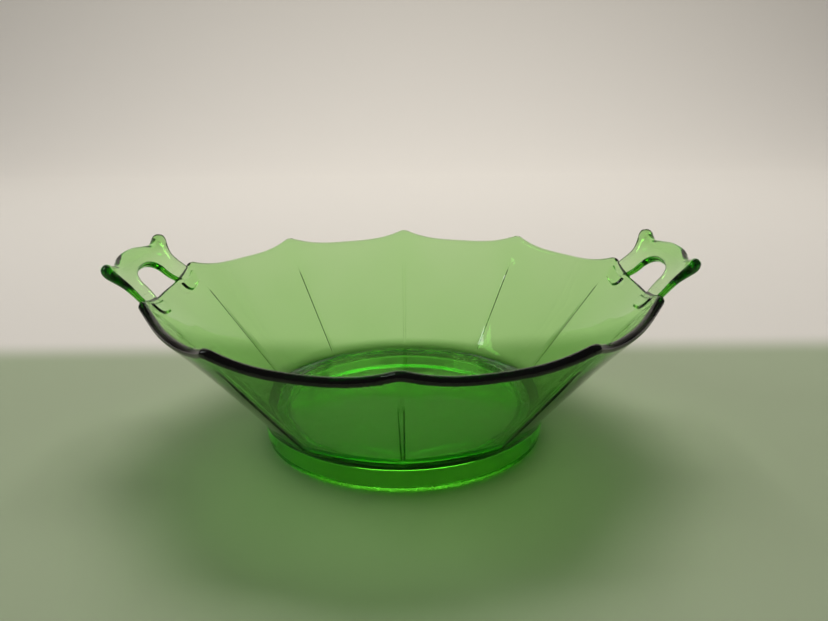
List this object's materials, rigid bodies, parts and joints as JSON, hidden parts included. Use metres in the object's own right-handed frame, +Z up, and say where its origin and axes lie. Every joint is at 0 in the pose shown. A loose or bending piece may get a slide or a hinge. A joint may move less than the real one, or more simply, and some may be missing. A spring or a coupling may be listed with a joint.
{
  "type": "footed glass bowl",
  "caption": "Two-handled footed serving bowl in green uranium glass, with a flared panelled wall, a rounded rim that dips between points, and open scalloped handles.",
  "frame": {"origin": "centre of the foot ring's resting face, on the table", "axes": "+Z up out of the bowl, +X through the two handles, -Y towards the front rim point"},
  "size_m": [0.2604, 0.234, 0.0898],
  "materials": {
    "uranium_glass": "clear yellow-green pressed glass, fire-polished and glossy, darker where it is thick"
  },
  "bodies": {
    "root": {"bowl_body": "uranium_glass", "foot_ring": "uranium_glass", "handle_right": "uranium_glass", "handle_left": "uranium_glass"}
  },
  "joints": []
}
